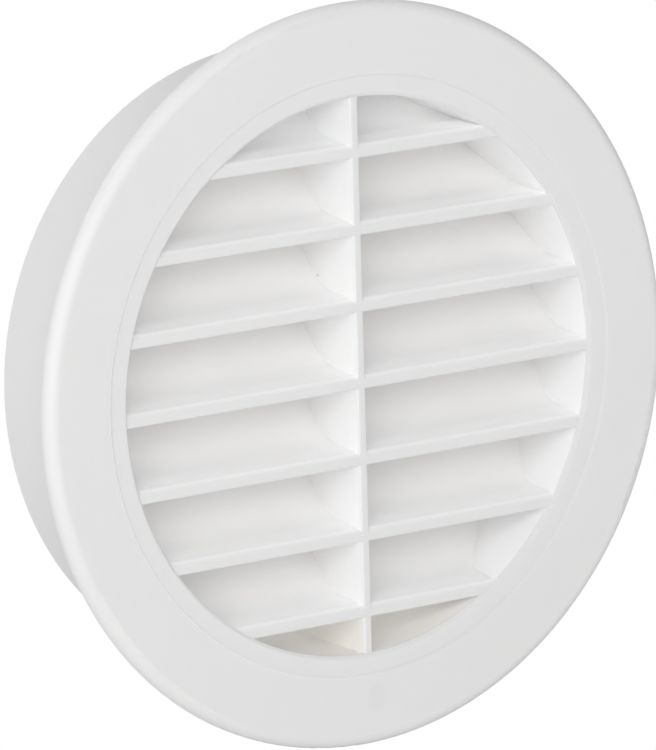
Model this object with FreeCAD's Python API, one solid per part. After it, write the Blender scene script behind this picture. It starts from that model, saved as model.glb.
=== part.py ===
import FreeCAD, Part
import math
import os

# Round vent grille for a nominal 100 mm duct, millimetres.
# The duct axis is Y. The flange's back lies on Y = 0, its face looks along -Y,
# the spigot runs into the duct along +Y, and Z is up.

# Flange
FLANGE_R = 59.0
FLANGE_T = 2.4
RIM_ROUND = 2.0
BACK_CHAMFER = 0.3
STEP_R = 47.4
STEP_DEPTH = 0.4
STEP_CHAMFER = 0.35
OPENING_R = 44.2
OPENING_CHAMFER = 0.5

# Sleeve that holds the louvres, and the spigot around it
SLEEVE_WALL = 1.8
SLEEVE_DEPTH = 25.0
SPIGOT_R = 49.5
SPIGOT_WALL = 2.0
SPIGOT_DEPTH = 27.6
SPIGOT_LEAD = 0.8
END_CHAMFER = 0.4

# Louvre blades: a nearly level lip, a concave bend, then a steep straight rear, slopes in degrees
BLADE_COUNT = 7
BLADE_PITCH = 12.17
FIRST_BLADE_Z = 34.5
BLADE_THICK = 2.1
LIP_SLOPE = 5.0
LIP_LENGTH = 5.5
BEND_R = 9.0
REAR_SLOPE = 52.0
REAR_LENGTH = 5.4
LIP_TOP_ROUND = 1.0
LIP_EDGE_ROUND = 0.3
BLADE_REAR_ROUND = 0.4

# Upright bar through the middle of the louvres
BAR_WIDTH = 1.6
BAR_DEPTH = 20.0
BAR_ROUND = 0.4

# Depths along Y that several features share
FACE_Y = -FLANGE_T
RING_Y = FACE_Y + STEP_DEPTH
LOUVRE_Y = RING_Y + OPENING_CHAMFER
SLEEVE_END_Y = FACE_Y + SLEEVE_DEPTH
SPIGOT_END_Y = FACE_Y + SPIGOT_DEPTH
SLEEVE_OUTER_R = OPENING_R + SLEEVE_WALL
SPIGOT_INNER_R = SPIGOT_R - SPIGOT_WALL
ANCHOR_R = OPENING_R + SLEEVE_WALL / 2


def profile_wire(corners):
    """Closed wire in the XY plane through (x, y, form, size) corners, cut back by their size."""
    count = len(corners)
    starts, middles, ends = [], [], []
    for i, (x, y, form, size) in enumerate(corners):
        here = FreeCAD.Vector(x, y, 0)
        before = FreeCAD.Vector(*corners[i - 1][:2], 0) - here
        after = FreeCAD.Vector(*corners[(i + 1) % count][:2], 0) - here
        before.normalize()
        after.normalize()
        half = before.getAngle(after) / 2
        reach = size / math.tan(half)
        bisector = before + after
        bisector.normalize()
        starts.append(here + before * reach)
        ends.append(here + after * reach)
        middles.append(here + bisector * (size / math.sin(half) - size))
    edges = []
    for i, corner in enumerate(corners):
        if corner[2] == "round":
            edges.append(Part.Arc(starts[i], middles[i], ends[i]).toShape())
        if corner[2] == "chamfer":
            edges.append(Part.makeLine(starts[i], ends[i]))
        edges.append(Part.makeLine(ends[i], starts[(i + 1) % count]))
    return Part.Wire(edges)


def ring_body():
    """Flange, louvre sleeve and spigot as one turned body."""
    profile = profile_wire([
        (OPENING_R, RING_Y, "chamfer", OPENING_CHAMFER),
        (STEP_R, RING_Y, "sharp", 0),
        (STEP_R, FACE_Y, "chamfer", STEP_CHAMFER),
        (FLANGE_R, FACE_Y, "round", RIM_ROUND),
        (FLANGE_R, 0, "chamfer", BACK_CHAMFER),
        (SPIGOT_R, 0, "sharp", 0),
        (SPIGOT_R, SPIGOT_END_Y, "chamfer", SPIGOT_LEAD),
        (SPIGOT_INNER_R, SPIGOT_END_Y, "chamfer", END_CHAMFER),
        (SPIGOT_INNER_R, 0, "sharp", 0),
        (SLEEVE_OUTER_R, 0, "sharp", 0),
        (SLEEVE_OUTER_R, SLEEVE_END_Y, "chamfer", END_CHAMFER),
        (OPENING_R, SLEEVE_END_Y, "chamfer", END_CHAMFER),
    ])
    return Part.Face(profile).revolve(FreeCAD.Vector(0, 0, 0), FreeCAD.Vector(0, 1, 0), 360)


def blade_side(offset):
    """Five (depth, height) points along the blade's top, moved down by an offset normal to it."""
    lip = math.radians(LIP_SLOPE)
    rear = math.radians(REAR_SLOPE)
    centre_depth = LIP_LENGTH - BEND_R * math.sin(lip)
    centre_height = LIP_LENGTH * math.tan(lip) + BEND_R * math.cos(lip)
    bend = []
    for slope in (lip, (lip + rear) / 2, rear):
        depth = centre_depth + (BEND_R + offset) * math.sin(slope)
        height = centre_height - (BEND_R + offset) * math.cos(slope)
        bend.append((depth, height))
    front = (0, bend[0][1] - bend[0][0] * math.tan(lip))
    tail = (bend[2][0] + REAR_LENGTH * math.cos(rear), bend[2][1] + REAR_LENGTH * math.sin(rear))
    return [front, *bend, tail]


def edges_at(shape, y, across, z=None):
    """Straight edges of a blank at a depth y, and at a height z if given, along an axis."""
    found = []
    for edge in shape.Edges:
        box = edge.BoundBox
        length = {"x": box.XLength, "z": box.ZLength}[across]
        level = z is None or abs(box.ZMin - z) < 1e-6
        if abs(box.YMin - y) < 1e-6 and box.YLength < 1e-6 and length > 1 and level:
            found.append(edge)
    return found


def blade(z):
    """One louvre blade, its lower front edge at the height z, as long as the sleeve is wide."""
    below = blade_side(BLADE_THICK)
    lip_height = -below[0][1]
    sides = []
    for side in (blade_side(0), below):
        sides.append([FreeCAD.Vector(-ANCHOR_R, LOUVRE_Y + d, z + lip_height + h) for d, h in side])
    top, bottom = sides
    section = Part.Wire([
        Part.makeLine(top[0], top[1]),
        Part.Arc(*top[1:4]).toShape(),
        Part.makeLine(top[3], top[4]),
        Part.makeLine(top[4], bottom[4]),
        Part.makeLine(bottom[4], bottom[3]),
        Part.Arc(*bottom[3:0:-1]).toShape(),
        Part.makeLine(bottom[1], bottom[0]),
        Part.makeLine(bottom[0], top[0]),
    ])
    blank = Part.Face(section).extrude(FreeCAD.Vector(2 * ANCHOR_R, 0, 0))
    rear_edges = edges_at(blank, top[4].y, "x") + edges_at(blank, bottom[4].y, "x")
    blank = blank.makeFillet(BLADE_REAR_ROUND, rear_edges)
    blank = blank.makeFillet(LIP_TOP_ROUND, edges_at(blank, LOUVRE_Y, "x", top[0].z))
    return blank.makeFillet(LIP_EDGE_ROUND, edges_at(blank, LOUVRE_Y, "x", bottom[0].z))


def middle_bar():
    """Upright bar that ties the blades together on the centre line."""
    corner = FreeCAD.Vector(-BAR_WIDTH / 2, LOUVRE_Y, -ANCHOR_R)
    blank = Part.makeBox(BAR_WIDTH, BAR_DEPTH, 2 * ANCHOR_R, corner)
    return blank.makeFillet(BAR_ROUND, edges_at(blank, LOUVRE_Y, "z"))


def louvres():
    """All blades and the bar, trimmed to end inside the sleeve's wall."""
    parts = [blade(FIRST_BLADE_Z - i * BLADE_PITCH) for i in range(BLADE_COUNT)]
    grid = middle_bar().fuse(parts)
    start = FreeCAD.Vector(0, FACE_Y, 0)
    bore = Part.makeCylinder(ANCHOR_R, SLEEVE_DEPTH, start, FreeCAD.Vector(0, 1, 0))
    return grid.common(bore)


def vent_grille():
    """The whole grille, one moulding."""
    return ring_body().fuse(louvres()).removeSplitter()


os.makedirs("parts", exist_ok=True)
vent_grille().exportStep("parts/vent_grille.step")
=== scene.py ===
"""Round vent grille: the moulding's finish, a white studio and the photograph's view."""
import math

import bpy
from mathutils import Euler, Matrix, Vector


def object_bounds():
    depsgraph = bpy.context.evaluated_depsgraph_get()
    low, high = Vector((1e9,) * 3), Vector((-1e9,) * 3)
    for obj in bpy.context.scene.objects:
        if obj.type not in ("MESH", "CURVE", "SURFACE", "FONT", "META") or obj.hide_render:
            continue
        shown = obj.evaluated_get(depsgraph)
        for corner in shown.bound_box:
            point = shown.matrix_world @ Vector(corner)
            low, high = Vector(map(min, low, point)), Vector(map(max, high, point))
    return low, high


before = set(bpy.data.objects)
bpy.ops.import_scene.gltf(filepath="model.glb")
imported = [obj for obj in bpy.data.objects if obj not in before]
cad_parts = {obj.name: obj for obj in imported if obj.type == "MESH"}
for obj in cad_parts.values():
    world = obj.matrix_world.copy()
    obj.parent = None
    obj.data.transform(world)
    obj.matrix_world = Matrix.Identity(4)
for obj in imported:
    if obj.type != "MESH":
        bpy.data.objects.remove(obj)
CAD_LOW, CAD_HIGH = [tuple(corner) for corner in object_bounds()]

bl_info = {
    "name": "Round vent grille",
    "version": (1, 0, 0),
    "blender": (4, 5, 0),
    "location": "View3D > Sidebar > Grille",
    "description": "Finishes the moulded vent grille and sets up its white studio",
    "category": "Object",
}

MM = 0.001

# The photograph, in pixels, and the lens that the camera fit was made with
PHOTO_WIDTH = 656
PHOTO_HEIGHT = 750
FOCAL_PX = 8000
SENSOR_MM = 36.0

# How far the camera sees
CLIP_START = 10 * MM
CLIP_END = 20.0

# Where the painted light between the blades begins: its depth, and the radius of the sleeve's wall
BLADE_DEPTH = (-1.5 * MM, -0.9 * MM)
SLEEVE_RADIUS = (44.3 * MM, 44.9 * MM)

# Depth over which the painted shade behind the blades' bend grows, and the height where it fades
# into the top bay
BEND_DEPTH = (0.0, 13 * MM)
TOP_BAY_HEIGHT = (36 * MM, 37.5 * MM)

# Height under which the sleeve's wall takes the painted warm light of the low gap
PAINTED_GAP_LIGHT_HEIGHT = (-40.5 * MM, -38.5 * MM)

# Faint darker spot on the flange in line with the middle bar, and how far it reaches
FLANGE_SPOT = (0.6 * MM, -2.4 * MM, -51.3 * MM)
FLANGE_SPOT_REACH = (2.2 * MM, 2.0 * MM, 2.8 * MM)
FLANGE_SPOT_TINT = (120, 120, 125)
FLANGE_SPOT_STRENGTH = 0.04

# Dust speck on the left side of the middle bar, and how far it reaches
SPECK = (-0.8 * MM, 8.45 * MM, 14.8 * MM)
SPECK_REACH = (0.4 * MM, 0.45 * MM, 0.3 * MM)
SPECK_TINT = (120, 112, 105)
SPECK_STRENGTH = 0.25

# Part of its reach over which a mark fades out
MARK_FADE = (0.5, 1.0)

# Cloudy mottle in the plastic's colour, and the part of the noise that it grows over
MOTTLE_SIZE = 9 * MM
MOTTLE_RANGE = (0.35, 0.65)
MOTTLE_TINT = (215, 215, 220)
MOTTLE_STRENGTH = 0.03

# Mould surface: height of the fine grain, slow waviness, and the sheen's change over a noise
GRAIN_HEIGHT = 0.004 * MM
WAVE_SIZE = 14 * MM
WAVE_HEIGHT = 0.06 * MM
SHEEN_SIZE = 5 * MM
SHEEN_RANGE = (0.3, 0.7)
SHEEN_CHANGE = 0.04

# Light in the plastic: how far red, green and blue travel under the surface
PLASTIC_IOR = 1.49
GLOW_REACH = (2.0 * MM, 1.7 * MM, 1.4 * MM)

# Painted highlight: pale line on the left side of the step ring's edge that lifts its shadow
# there, and how it fades out to the right
EDGE_RADIUS = 47.58 * MM
EDGE_REACH = 0.22 * MM
EDGE_DEPTH = (-1.7 * MM, -1.5 * MM)
EDGE_FADE = (-45 * MM, 25 * MM)
EDGE_LIGHT_STRENGTH = 0.65

# Soft edges of the step ring's riser and of the opening's rim, and how far they turn
STEP_RADIUS = 47.2 * MM
STEP_REACH = 0.6 * MM
OPENING_RADIUS = 44.45 * MM
OPENING_REACH = 0.65 * MM
WEAR_DEPTH = (-1.6 * MM, -1.3 * MM)
WEAR = 0.6

# Level lips of the blades: how far they turn at their front and behind it, and where
BLADE_RADIUS = 43.9 * MM
LIP_TURN = (0.08, 0.28)
LIP_FRONT_DEPTH = (-1 * MM, 1.2 * MM)
LIP_REAR_DEPTH = (2 * MM, 6 * MM)
TO_FRONT = (0.0, -1.0, 0.0)

# The Mix node gives its sockets the same names for every kind of data, so they go by number
COLOUR_A, COLOUR_B, COLOUR_RESULT = 6, 7, 2
VECTOR_A, VECTOR_B, VECTOR_RESULT = 4, 5, 1

# Studio floor and surroundings
WHITE = (1.0, 1.0, 1.0, 1.0)
FLOOR_SIZE = 6.0
FLOOR_GAP = 0.2 * MM
FLOOR_TINT = (238, 238, 238)
FLOOR_ROUGHNESS = 0.9

# Softboxes: the side of their squares and their places round the grille
SOFTBOX_SIZE = 0.9
KEY_PLACE = (-1.02, -1.02, 0.41)
FRONT_PLACE = (0, -1.44, 0.43)
SIDE_PLACE = (-1.13, 0, 0.98)
BACK_PLACE = (0, 1.06, 1.06)


def srgb(value):
    """Linear value of one sRGB level from 0 to 255."""
    level = value / 255
    if level <= 0.04045:
        return level / 12.92
    return ((level + 0.055) / 1.055) ** 2.4


def colour(red, green, blue):
    """Linear colour of sRGB levels."""
    return (srgb(red), srgb(green), srgb(blue))


class GrilleFinish(bpy.types.PropertyGroup):
    """Colours and surface of the moulded plastic, with painted light and shade between the blades.
    """

    plastic: bpy.props.FloatVectorProperty(
        name="Plastic",
        description="Colour of the moulded plastic",
        default=colour(229, 229, 229),
        size=3,
        min=0.0,
        max=1.0,
        subtype="COLOR",
    )
    # Painted light: a lighter colour between the blades that stands in for the light reaching
    # them, not a second colour of the plastic
    painted_louvre_light: bpy.props.FloatVectorProperty(
        name="Painted Louvre Light",
        description="Lighter colour that the plastic takes between the blades",
        default=colour(254, 254, 254),
        size=3,
        min=0.0,
        max=1.0,
        subtype="COLOR",
    )
    # Painted shade: a darker colour behind the blades' bend that stands in for the shadow of the
    # blade above
    painted_shade: bpy.props.FloatVectorProperty(
        name="Painted deep shade",
        description="Darker tint that the plastic takes behind the blades' bend",
        default=colour(240, 239, 238),
        size=3,
        min=0.0,
        max=1.0,
        subtype="COLOR",
    )
    # Painted light: a bright warm colour on the sleeve's wall under the last blade, standing in
    # for warm bounce light
    painted_gap_light: bpy.props.FloatVectorProperty(
        name="Painted gap light",
        description="Warm tint of the sleeve's wall, seen through the gap under the last blade",
        default=colour(255, 252, 246),
        size=3,
        min=0.0,
        max=1.0,
        subtype="COLOR",
    )
    roughness: bpy.props.FloatProperty(
        name="Roughness",
        description="Roughness of the satin moulded surface",
        default=0.55,
        min=0.0,
        max=1.0,
        subtype="FACTOR",
    )
    translucence: bpy.props.FloatProperty(
        name="Translucence",
        description="Share of the light that scatters inside the plastic",
        default=0.2,
        min=0.0,
        max=1.0,
        subtype="FACTOR",
    )
    grain: bpy.props.FloatProperty(
        name="Grain",
        description="Spacing of the mould's fine grain",
        default=0.6 * MM,
        min=0.05 * MM,
        unit="LENGTH",
    )


class GrilleStudio(bpy.types.PropertyGroup):
    """Camera, light and floor of the studio."""

    azimuth: bpy.props.FloatProperty(
        name="Azimuth",
        description="Direction of the camera round the grille, nought in front of its face",
        default=math.radians(-35.19),
        subtype="ANGLE",
    )
    elevation: bpy.props.FloatProperty(
        name="Elevation",
        description="Height of the camera over the horizon",
        default=math.radians(11.58),
        subtype="ANGLE",
    )
    roll: bpy.props.FloatProperty(
        name="Roll",
        description="Turn of the picture about the line of sight",
        default=math.radians(1.63),
        subtype="ANGLE",
    )
    distance: bpy.props.FloatProperty(
        name="Distance",
        description="Distance from the camera to the middle of the grille's face",
        default=1245.3 * MM,
        unit="LENGTH",
    )
    shift_right: bpy.props.FloatProperty(
        name="Shift right",
        description="Distance of the grille's middle to the right of the line of sight",
        default=5.72 * MM,
        unit="LENGTH",
    )
    shift_up: bpy.props.FloatProperty(
        name="Shift up",
        description="Distance of the grille's middle over the line of sight",
        default=-0.41 * MM,
        unit="LENGTH",
    )
    fill: bpy.props.FloatProperty(
        name="Surroundings",
        description="Strength of the light from the white surroundings",
        default=0.43,
        min=0.0,
    )
    floor: bpy.props.FloatProperty(
        name="Floor glow",
        description="Light that the white floor sends up besides its bounce",
        default=0.05,
        min=0.0,
    )
    key: bpy.props.FloatProperty(
        name="Key light",
        description="Power of the softbox to the left in front, in watts",
        default=9.7,
        min=0.0,
    )
    front: bpy.props.FloatProperty(
        name="Front light",
        description="Power of the softbox in front, in watts",
        default=3.1,
        min=0.0,
    )
    side: bpy.props.FloatProperty(
        name="Side light",
        description="Power of the softbox above the left side, in watts",
        default=3.0,
        min=0.0,
    )
    back: bpy.props.FloatProperty(
        name="Back light",
        description="Power of the softbox above and behind the grille, in watts",
        default=2.6,
        min=0.0,
    )


def new_group(name, inputs, outputs):
    """Empty node group with the given (name, socket type, default) inputs and outputs."""
    group = bpy.data.node_groups.new(name, "ShaderNodeTree")
    for label, kind, default in inputs:
        socket = group.interface.new_socket(label, in_out="INPUT", socket_type=kind)
        socket.default_value = default
    for label, kind in outputs:
        group.interface.new_socket(label, in_out="OUTPUT", socket_type=kind)
    entry = group.nodes.new("NodeGroupInput")
    result = group.nodes.new("NodeGroupOutput")
    return group, entry, result


def calculate(group, operation, *values):
    """Math node in a group, fed by sockets or plain numbers; its result socket."""
    node = group.nodes.new("ShaderNodeMath")
    node.operation = operation
    for slot, value in zip(node.inputs, values):
        if isinstance(value, bpy.types.NodeSocket):
            group.links.new(value, slot)
        else:
            slot.default_value = value
    return node.outputs[0]


def ramp(group, value, start, end, low=0.0, high=1.0):
    """Smooth step of a value from start to end, between low and high."""
    node = group.nodes.new("ShaderNodeMapRange")
    node.interpolation_type = "SMOOTHSTEP"
    group.links.new(value, node.inputs["Value"])
    limits = {"From Min": start, "From Max": end, "To Min": low, "To Max": high}
    for label, number in limits.items():
        node.inputs[label].default_value = number
    return node.outputs["Result"]


def noise(group, vector, size, detail):
    """Noise of a given feature size in metres; its factor socket."""
    node = group.nodes.new("ShaderNodeTexNoise")
    group.links.new(vector, node.inputs["Vector"])
    node.inputs["Scale"].default_value = 1 / size
    node.inputs["Detail"].default_value = detail
    return node.outputs["Fac"]


def blend_colour(group, factor, first, second):
    """Blend of a colour socket into a second one, or into a linear colour; its result socket."""
    node = group.nodes.new("ShaderNodeMix")
    node.data_type = "RGBA"
    group.links.new(factor, node.inputs["Factor"])
    group.links.new(first, node.inputs[COLOUR_A])
    if isinstance(second, bpy.types.NodeSocket):
        group.links.new(second, node.inputs[COLOUR_B])
    else:
        node.inputs[COLOUR_B].default_value = (*second, 1.0)
    return node.outputs[COLOUR_RESULT]


def distance_to(group, vector, point, stretch):
    """Distance of each place from a point, in units of the stretch along each axis."""
    node = group.nodes.new("ShaderNodeMapping")
    node.vector_type = "TEXTURE"
    group.links.new(vector, node.inputs["Vector"])
    node.inputs["Location"].default_value = point
    node.inputs["Scale"].default_value = stretch
    length = group.nodes.new("ShaderNodeVectorMath")
    length.operation = "LENGTH"
    group.links.new(node.outputs["Vector"], length.inputs[0])
    return length.outputs["Value"]


def spread(group):
    """Object coordinates as one vector, as (x, y, z) and as distance from the spigot's axis."""
    place = group.nodes.new("ShaderNodeTexCoord").outputs["Object"]
    split = group.nodes.new("ShaderNodeSeparateXYZ")
    group.links.new(place, split.inputs["Vector"])
    x, y, z = split.outputs
    across = calculate(group, "MULTIPLY", x, x)
    upright = calculate(group, "MULTIPLY", z, z)
    radius = calculate(group, "SQRT", calculate(group, "ADD", across, upright))
    return place, (x, y, z), radius


def mark(group, base, place, middle, reach, tint, strength):
    """Base colour with a soft round mark of another tint on it; its result socket."""
    distance = distance_to(group, place, middle, reach)
    factor = ramp(group, distance, *MARK_FADE, low=strength, high=0.0)
    return blend_colour(group, factor, base, colour(*tint))


def tint_group(finish):
    """Plastic colour: painted light between the blades, painted shade behind the bend, painted
    warm light in the low gap, a painted highlight on the step ring, marks and a mottle.
    """
    group, entry, result = new_group(
        "Tint with painted light",
        [
            ("Plastic", "NodeSocketColor", (*finish.plastic, 1.0)),
            ("Painted Louvre Light", "NodeSocketColor", (*finish.painted_louvre_light, 1.0)),
            ("Painted Deep Shade", "NodeSocketColor", (*finish.painted_shade, 1.0)),
            ("Painted Gap Light", "NodeSocketColor", (*finish.painted_gap_light, 1.0)),
        ],
        [("Base Color", "NodeSocketColor")],
    )
    place, (x, y, z), radius = spread(group)
    # Painted light: between the blades the colour turns lighter, in place of the light that
    # reaches them
    depth = ramp(group, y, *BLADE_DEPTH)
    inside = ramp(group, radius, *SLEEVE_RADIUS, low=1.0, high=0.0)
    between = calculate(group, "MULTIPLY", depth, inside)
    # Painted shade: behind the bend the colour darkens, in place of the shadow under the blade
    # above
    under = ramp(group, z, *TOP_BAY_HEIGHT, low=1.0, high=0.0)
    behind = calculate(group, "MULTIPLY", ramp(group, y, *BEND_DEPTH), under)
    painted_louvre_light = blend_colour(group, behind, entry.outputs["Painted Louvre Light"], entry.outputs["Painted Deep Shade"])
    # Painted light: under the last blade the sleeve's wall turns bright and warm, in place of
    # bounce light
    low = ramp(group, z, *PAINTED_GAP_LIGHT_HEIGHT, low=1.0, high=0.0)
    painted_louvre_light = blend_colour(group, low, painted_louvre_light, entry.outputs["Painted Gap Light"])
    lit = blend_colour(group, between, entry.outputs["Plastic"], painted_louvre_light)
    # Painted highlight on the step ring's edge, which lifts the shadow that the edge casts on its
    # left side
    ring = calculate(group, "COMPARE", radius, EDGE_RADIUS, EDGE_REACH)
    left = ramp(group, x, *EDGE_FADE, low=EDGE_LIGHT_STRENGTH, high=0.0)
    ring = calculate(group, "MULTIPLY", ring, left)
    raised = ramp(group, y, *EDGE_DEPTH, low=1.0, high=0.0)
    ring = calculate(group, "MULTIPLY", ring, raised)
    painted_edge_light = blend_colour(group, ring, lit, WHITE[:3])
    marked = mark(group, painted_edge_light, place, FLANGE_SPOT, FLANGE_SPOT_REACH, FLANGE_SPOT_TINT, FLANGE_SPOT_STRENGTH)
    marked = mark(group, marked, place, SPECK, SPECK_REACH, SPECK_TINT, SPECK_STRENGTH)
    cloud = noise(group, place, MOTTLE_SIZE, detail=2.0)
    mottle = ramp(group, cloud, *MOTTLE_RANGE, high=MOTTLE_STRENGTH)
    tinted = blend_colour(group, mottle, marked, colour(*MOTTLE_TINT))
    group.links.new(tinted, result.inputs["Base Color"])
    return group


def grain_group(finish):
    """Satin mould surface: fine grain with a slow waviness, and an uneven roughness."""
    group, entry, result = new_group(
        "Moulded grain",
        [("Roughness", "NodeSocketFloat", finish.roughness)],
        [("Roughness", "NodeSocketFloat"), ("Bump Height", "NodeSocketFloat")],
    )
    place = group.nodes.new("ShaderNodeTexCoord").outputs["Object"]
    fine = noise(group, place, finish.grain, detail=2.0)
    slow = noise(group, place, WAVE_SIZE, detail=1.0)
    fine = calculate(group, "MULTIPLY", fine, GRAIN_HEIGHT)
    slow = calculate(group, "MULTIPLY", slow, WAVE_HEIGHT)
    height = calculate(group, "ADD", fine, slow)
    cloud = noise(group, place, SHEEN_SIZE, detail=3.0)
    uneven = ramp(group, cloud, *SHEEN_RANGE, low=-SHEEN_CHANGE, high=SHEEN_CHANGE)
    rough = calculate(group, "ADD", entry.outputs["Roughness"], uneven)
    group.links.new(rough, result.inputs["Roughness"])
    group.links.new(height, result.inputs["Bump Height"])
    return group


def soften_group():
    """Normal of soft moulded edges: riser, rim and blade lips turn partly to the front."""
    group, _, result = new_group("Worn edges", [], [("Normal", "NodeSocketVector")])
    _, (_, y, _), radius = spread(group)
    front = ramp(group, y, *WEAR_DEPTH, low=WEAR, high=0.0)
    ring = calculate(group, "COMPARE", radius, STEP_RADIUS, STEP_REACH)
    rim = calculate(group, "COMPARE", radius, OPENING_RADIUS, OPENING_REACH)
    worn = calculate(group, "MULTIPLY", front, calculate(group, "MAXIMUM", ring, rim))
    normal = group.nodes.new("ShaderNodeNewGeometry").outputs["Normal"]
    facing = group.nodes.new("ShaderNodeSeparateXYZ")
    group.links.new(normal, facing.inputs["Vector"])
    sideways = calculate(group, "ABSOLUTE", facing.outputs["X"])
    level = calculate(group, "SUBTRACT", 1.0, sideways)
    within = calculate(group, "LESS_THAN", radius, BLADE_RADIUS)
    lip = calculate(group, "MULTIPLY", level, within)
    rise = ramp(group, y, *LIP_FRONT_DEPTH, *LIP_TURN)
    lip = calculate(group, "MULTIPLY", lip, rise)
    fade = ramp(group, y, *LIP_REAR_DEPTH, low=1.0, high=0.0)
    lip = calculate(group, "MULTIPLY", lip, fade)
    worn = calculate(group, "MAXIMUM", worn, lip)
    blend = group.nodes.new("ShaderNodeMix")
    blend.data_type = "VECTOR"
    group.links.new(worn, blend.inputs["Factor"])
    group.links.new(normal, blend.inputs[VECTOR_A])
    blend.inputs[VECTOR_B].default_value = TO_FRONT
    unit = group.nodes.new("ShaderNodeVectorMath")
    unit.operation = "NORMALIZE"
    group.links.new(blend.outputs[VECTOR_RESULT], unit.inputs[0])
    group.links.new(unit.outputs["Vector"], result.inputs["Normal"])
    return group


def plastic_material(finish):
    """White satin moulded plastic."""
    material = bpy.data.materials.new("grille_plastic")
    material.use_nodes = True
    tree = material.node_tree
    shader = tree.nodes["Principled BSDF"]
    tint = tree.nodes.new("ShaderNodeGroup")
    tint.node_tree = tint_group(finish)
    grain = tree.nodes.new("ShaderNodeGroup")
    grain.node_tree = grain_group(finish)
    soften = tree.nodes.new("ShaderNodeGroup")
    soften.node_tree = soften_group()
    bump = tree.nodes.new("ShaderNodeBump")
    bump.inputs["Distance"].default_value = 1.0
    bump.inputs["Strength"].default_value = 1.0
    tree.links.new(tint.outputs["Base Color"], shader.inputs["Base Color"])
    tree.links.new(grain.outputs["Roughness"], shader.inputs["Roughness"])
    tree.links.new(grain.outputs["Bump Height"], bump.inputs["Height"])
    tree.links.new(soften.outputs["Normal"], bump.inputs["Normal"])
    tree.links.new(bump.outputs["Normal"], shader.inputs["Normal"])
    shader.inputs["IOR"].default_value = PLASTIC_IOR
    shader.inputs["Subsurface Weight"].default_value = finish.translucence
    shader.inputs["Subsurface Radius"].default_value = GLOW_REACH
    shader.inputs["Subsurface Scale"].default_value = 1.0
    return material


class GRILLE_OT_finish(bpy.types.Operator):
    """Give the grille's moulding its white satin plastic"""

    bl_idname = "grille.finish"
    bl_label = "Finish the moulding"

    def execute(self, context):
        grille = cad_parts["vent_grille"]
        grille.data.materials.clear()
        grille.data.materials.append(plastic_material(context.scene.grille_finish))
        return {"FINISHED"}


def show_white(tree, lit, white, output):
    """Let the camera see the white shader, and everything else the lit one."""
    path = tree.nodes.new("ShaderNodeLightPath")
    mix = tree.nodes.new("ShaderNodeMixShader")
    tree.links.new(path.outputs["Is Camera Ray"], mix.inputs["Fac"])
    tree.links.new(lit, mix.inputs[1])
    tree.links.new(white, mix.inputs[2])
    tree.links.new(mix.outputs["Shader"], tree.nodes[output].inputs["Surface"])


def floor_material(glow):
    """Floor that looks pure white to the camera, and gives the object matt bounce and a glow."""
    material = bpy.data.materials.new("studio_floor_white")
    material.use_nodes = True
    tree = material.node_tree
    shader = tree.nodes["Principled BSDF"]
    shader.inputs["Base Color"].default_value = (*colour(*FLOOR_TINT), 1.0)
    shader.inputs["Roughness"].default_value = FLOOR_ROUGHNESS
    shader.inputs["Emission Color"].default_value = WHITE
    shader.inputs["Emission Strength"].default_value = glow
    white = tree.nodes.new("ShaderNodeEmission")
    white.inputs["Color"].default_value = WHITE
    white.inputs["Strength"].default_value = 1.0
    show_white(tree, shader.outputs["BSDF"], white.outputs["Emission"], "Material Output")
    return material


def make_floor(glow):
    """Pale floor just under the flange."""
    height = CAD_LOW[2] - FLOOR_GAP
    bpy.ops.mesh.primitive_plane_add(size=FLOOR_SIZE, location=(0, 0, height))
    floor = bpy.context.object
    floor.name = "studio_floor"
    floor.data.materials.append(floor_material(glow))


def make_world(strength):
    """White surroundings: pure white to the camera, a softer fill for the object."""
    world = bpy.data.worlds.new("studio_world")
    bpy.context.scene.world = world
    world.use_nodes = True
    tree = world.node_tree
    fill = tree.nodes["Background"]
    fill.inputs["Color"].default_value = WHITE
    fill.inputs["Strength"].default_value = strength
    white = tree.nodes.new("ShaderNodeBackground")
    white.inputs["Color"].default_value = WHITE
    white.inputs["Strength"].default_value = 1.0
    show_white(tree, fill.outputs["Background"], white.outputs["Background"], "World Output")


def make_light(name, place, power):
    """Square softbox that faces the grille's middle."""
    aim = Vector((0, 0, 0)) - Vector(place)
    turn = aim.to_track_quat("-Z", "Y").to_euler()
    bpy.ops.object.light_add(type="AREA", location=place, rotation=turn)
    light = bpy.context.object
    light.name = name
    light.data.name = name
    light.data.shape = "SQUARE"
    light.data.size = SOFTBOX_SIZE
    light.data.energy = power


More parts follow.
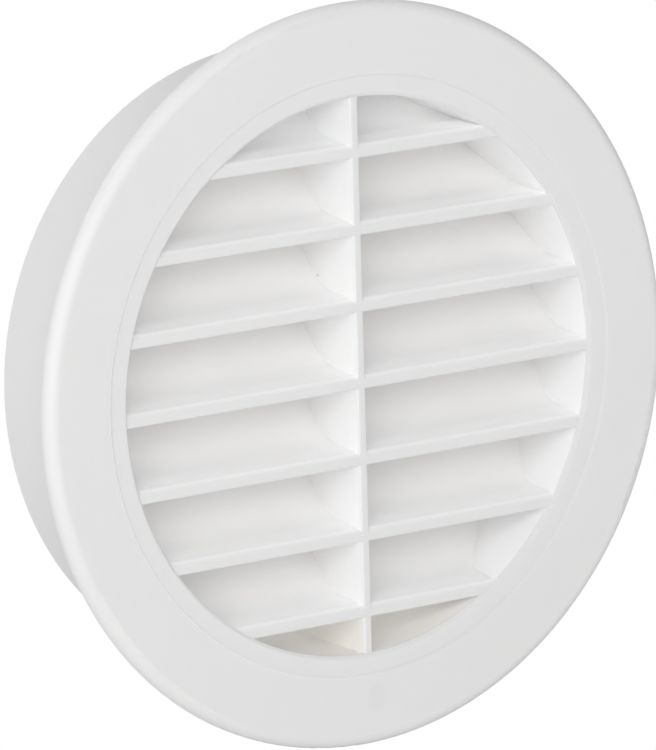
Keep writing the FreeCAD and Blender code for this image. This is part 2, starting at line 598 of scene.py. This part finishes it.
def make_camera(studio):
    """Camera at the photograph's place and angle, with the object to the right of its middle."""
    turn = Euler((math.pi / 2 - studio.elevation, 0, studio.azimuth), "XYZ").to_matrix()
    turn = turn @ Euler((0, 0, -studio.roll), "XYZ").to_matrix()
    middle = Vector((0, CAD_LOW[1], 0))
    offset = Vector((-studio.shift_right, -studio.shift_up, studio.distance))
    bpy.ops.object.camera_add(location=middle + turn @ offset, rotation=turn.to_euler())
    camera = bpy.context.object
    camera.name = "photo_camera"
    camera.data.sensor_width = SENSOR_MM
    camera.data.lens = FOCAL_PX * SENSOR_MM / max(PHOTO_WIDTH, PHOTO_HEIGHT)
    camera.data.clip_start = CLIP_START
    camera.data.clip_end = CLIP_END
    bpy.context.scene.camera = camera


class GRILLE_OT_stage(bpy.types.Operator):
    """Set up the floor, the surroundings, the softboxes and the camera"""

    bl_idname = "grille.stage"
    bl_label = "Set up the studio"

    def execute(self, context):
        studio = context.scene.grille_studio
        bpy.ops.object.select_all(action="DESELECT")
        make_floor(studio.floor)
        make_world(studio.fill)
        make_light("key_softbox", KEY_PLACE, studio.key)
        make_light("front_softbox", FRONT_PLACE, studio.front)
        make_light("side_softbox", SIDE_PLACE, studio.side)
        make_light("back_softbox", BACK_PLACE, studio.back)
        make_camera(studio)
        context.scene.view_settings.view_transform = "Standard"
        return {"FINISHED"}


class GRILLE_PT_panel(bpy.types.Panel):
    """Sizes, colours and steps of the vent grille"""

    bl_idname = "GRILLE_PT_panel"
    bl_label = "Round vent grille"
    bl_space_type = "VIEW_3D"
    bl_region_type = "UI"
    bl_category = "Grille"

    def draw(self, context):
        layout = self.layout
        for group in (context.scene.grille_finish, context.scene.grille_studio):
            box = layout.box()
            for name in group.__annotations__:
                box.prop(group, name)
        for step in STEPS:
            layout.operator(step.bl_idname)


STEPS = (GRILLE_OT_finish, GRILLE_OT_stage)
CLASSES = (GrilleFinish, GrilleStudio, *STEPS, GRILLE_PT_panel)


def register():
    """Register the classes and hang the property groups on the scene."""
    for item in CLASSES:
        bpy.utils.register_class(item)
    bpy.types.Scene.grille_finish = bpy.props.PointerProperty(type=GrilleFinish)
    bpy.types.Scene.grille_studio = bpy.props.PointerProperty(type=GrilleStudio)


def unregister():
    """Take the property groups and the classes away again."""
    del bpy.types.Scene.grille_studio
    del bpy.types.Scene.grille_finish
    for item in reversed(CLASSES):
        bpy.utils.unregister_class(item)


def main():
    """Register the add-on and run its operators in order."""
    register()
    bpy.ops.grille.finish()
    bpy.ops.grille.stage()


if __name__ == "__main__":
    main()
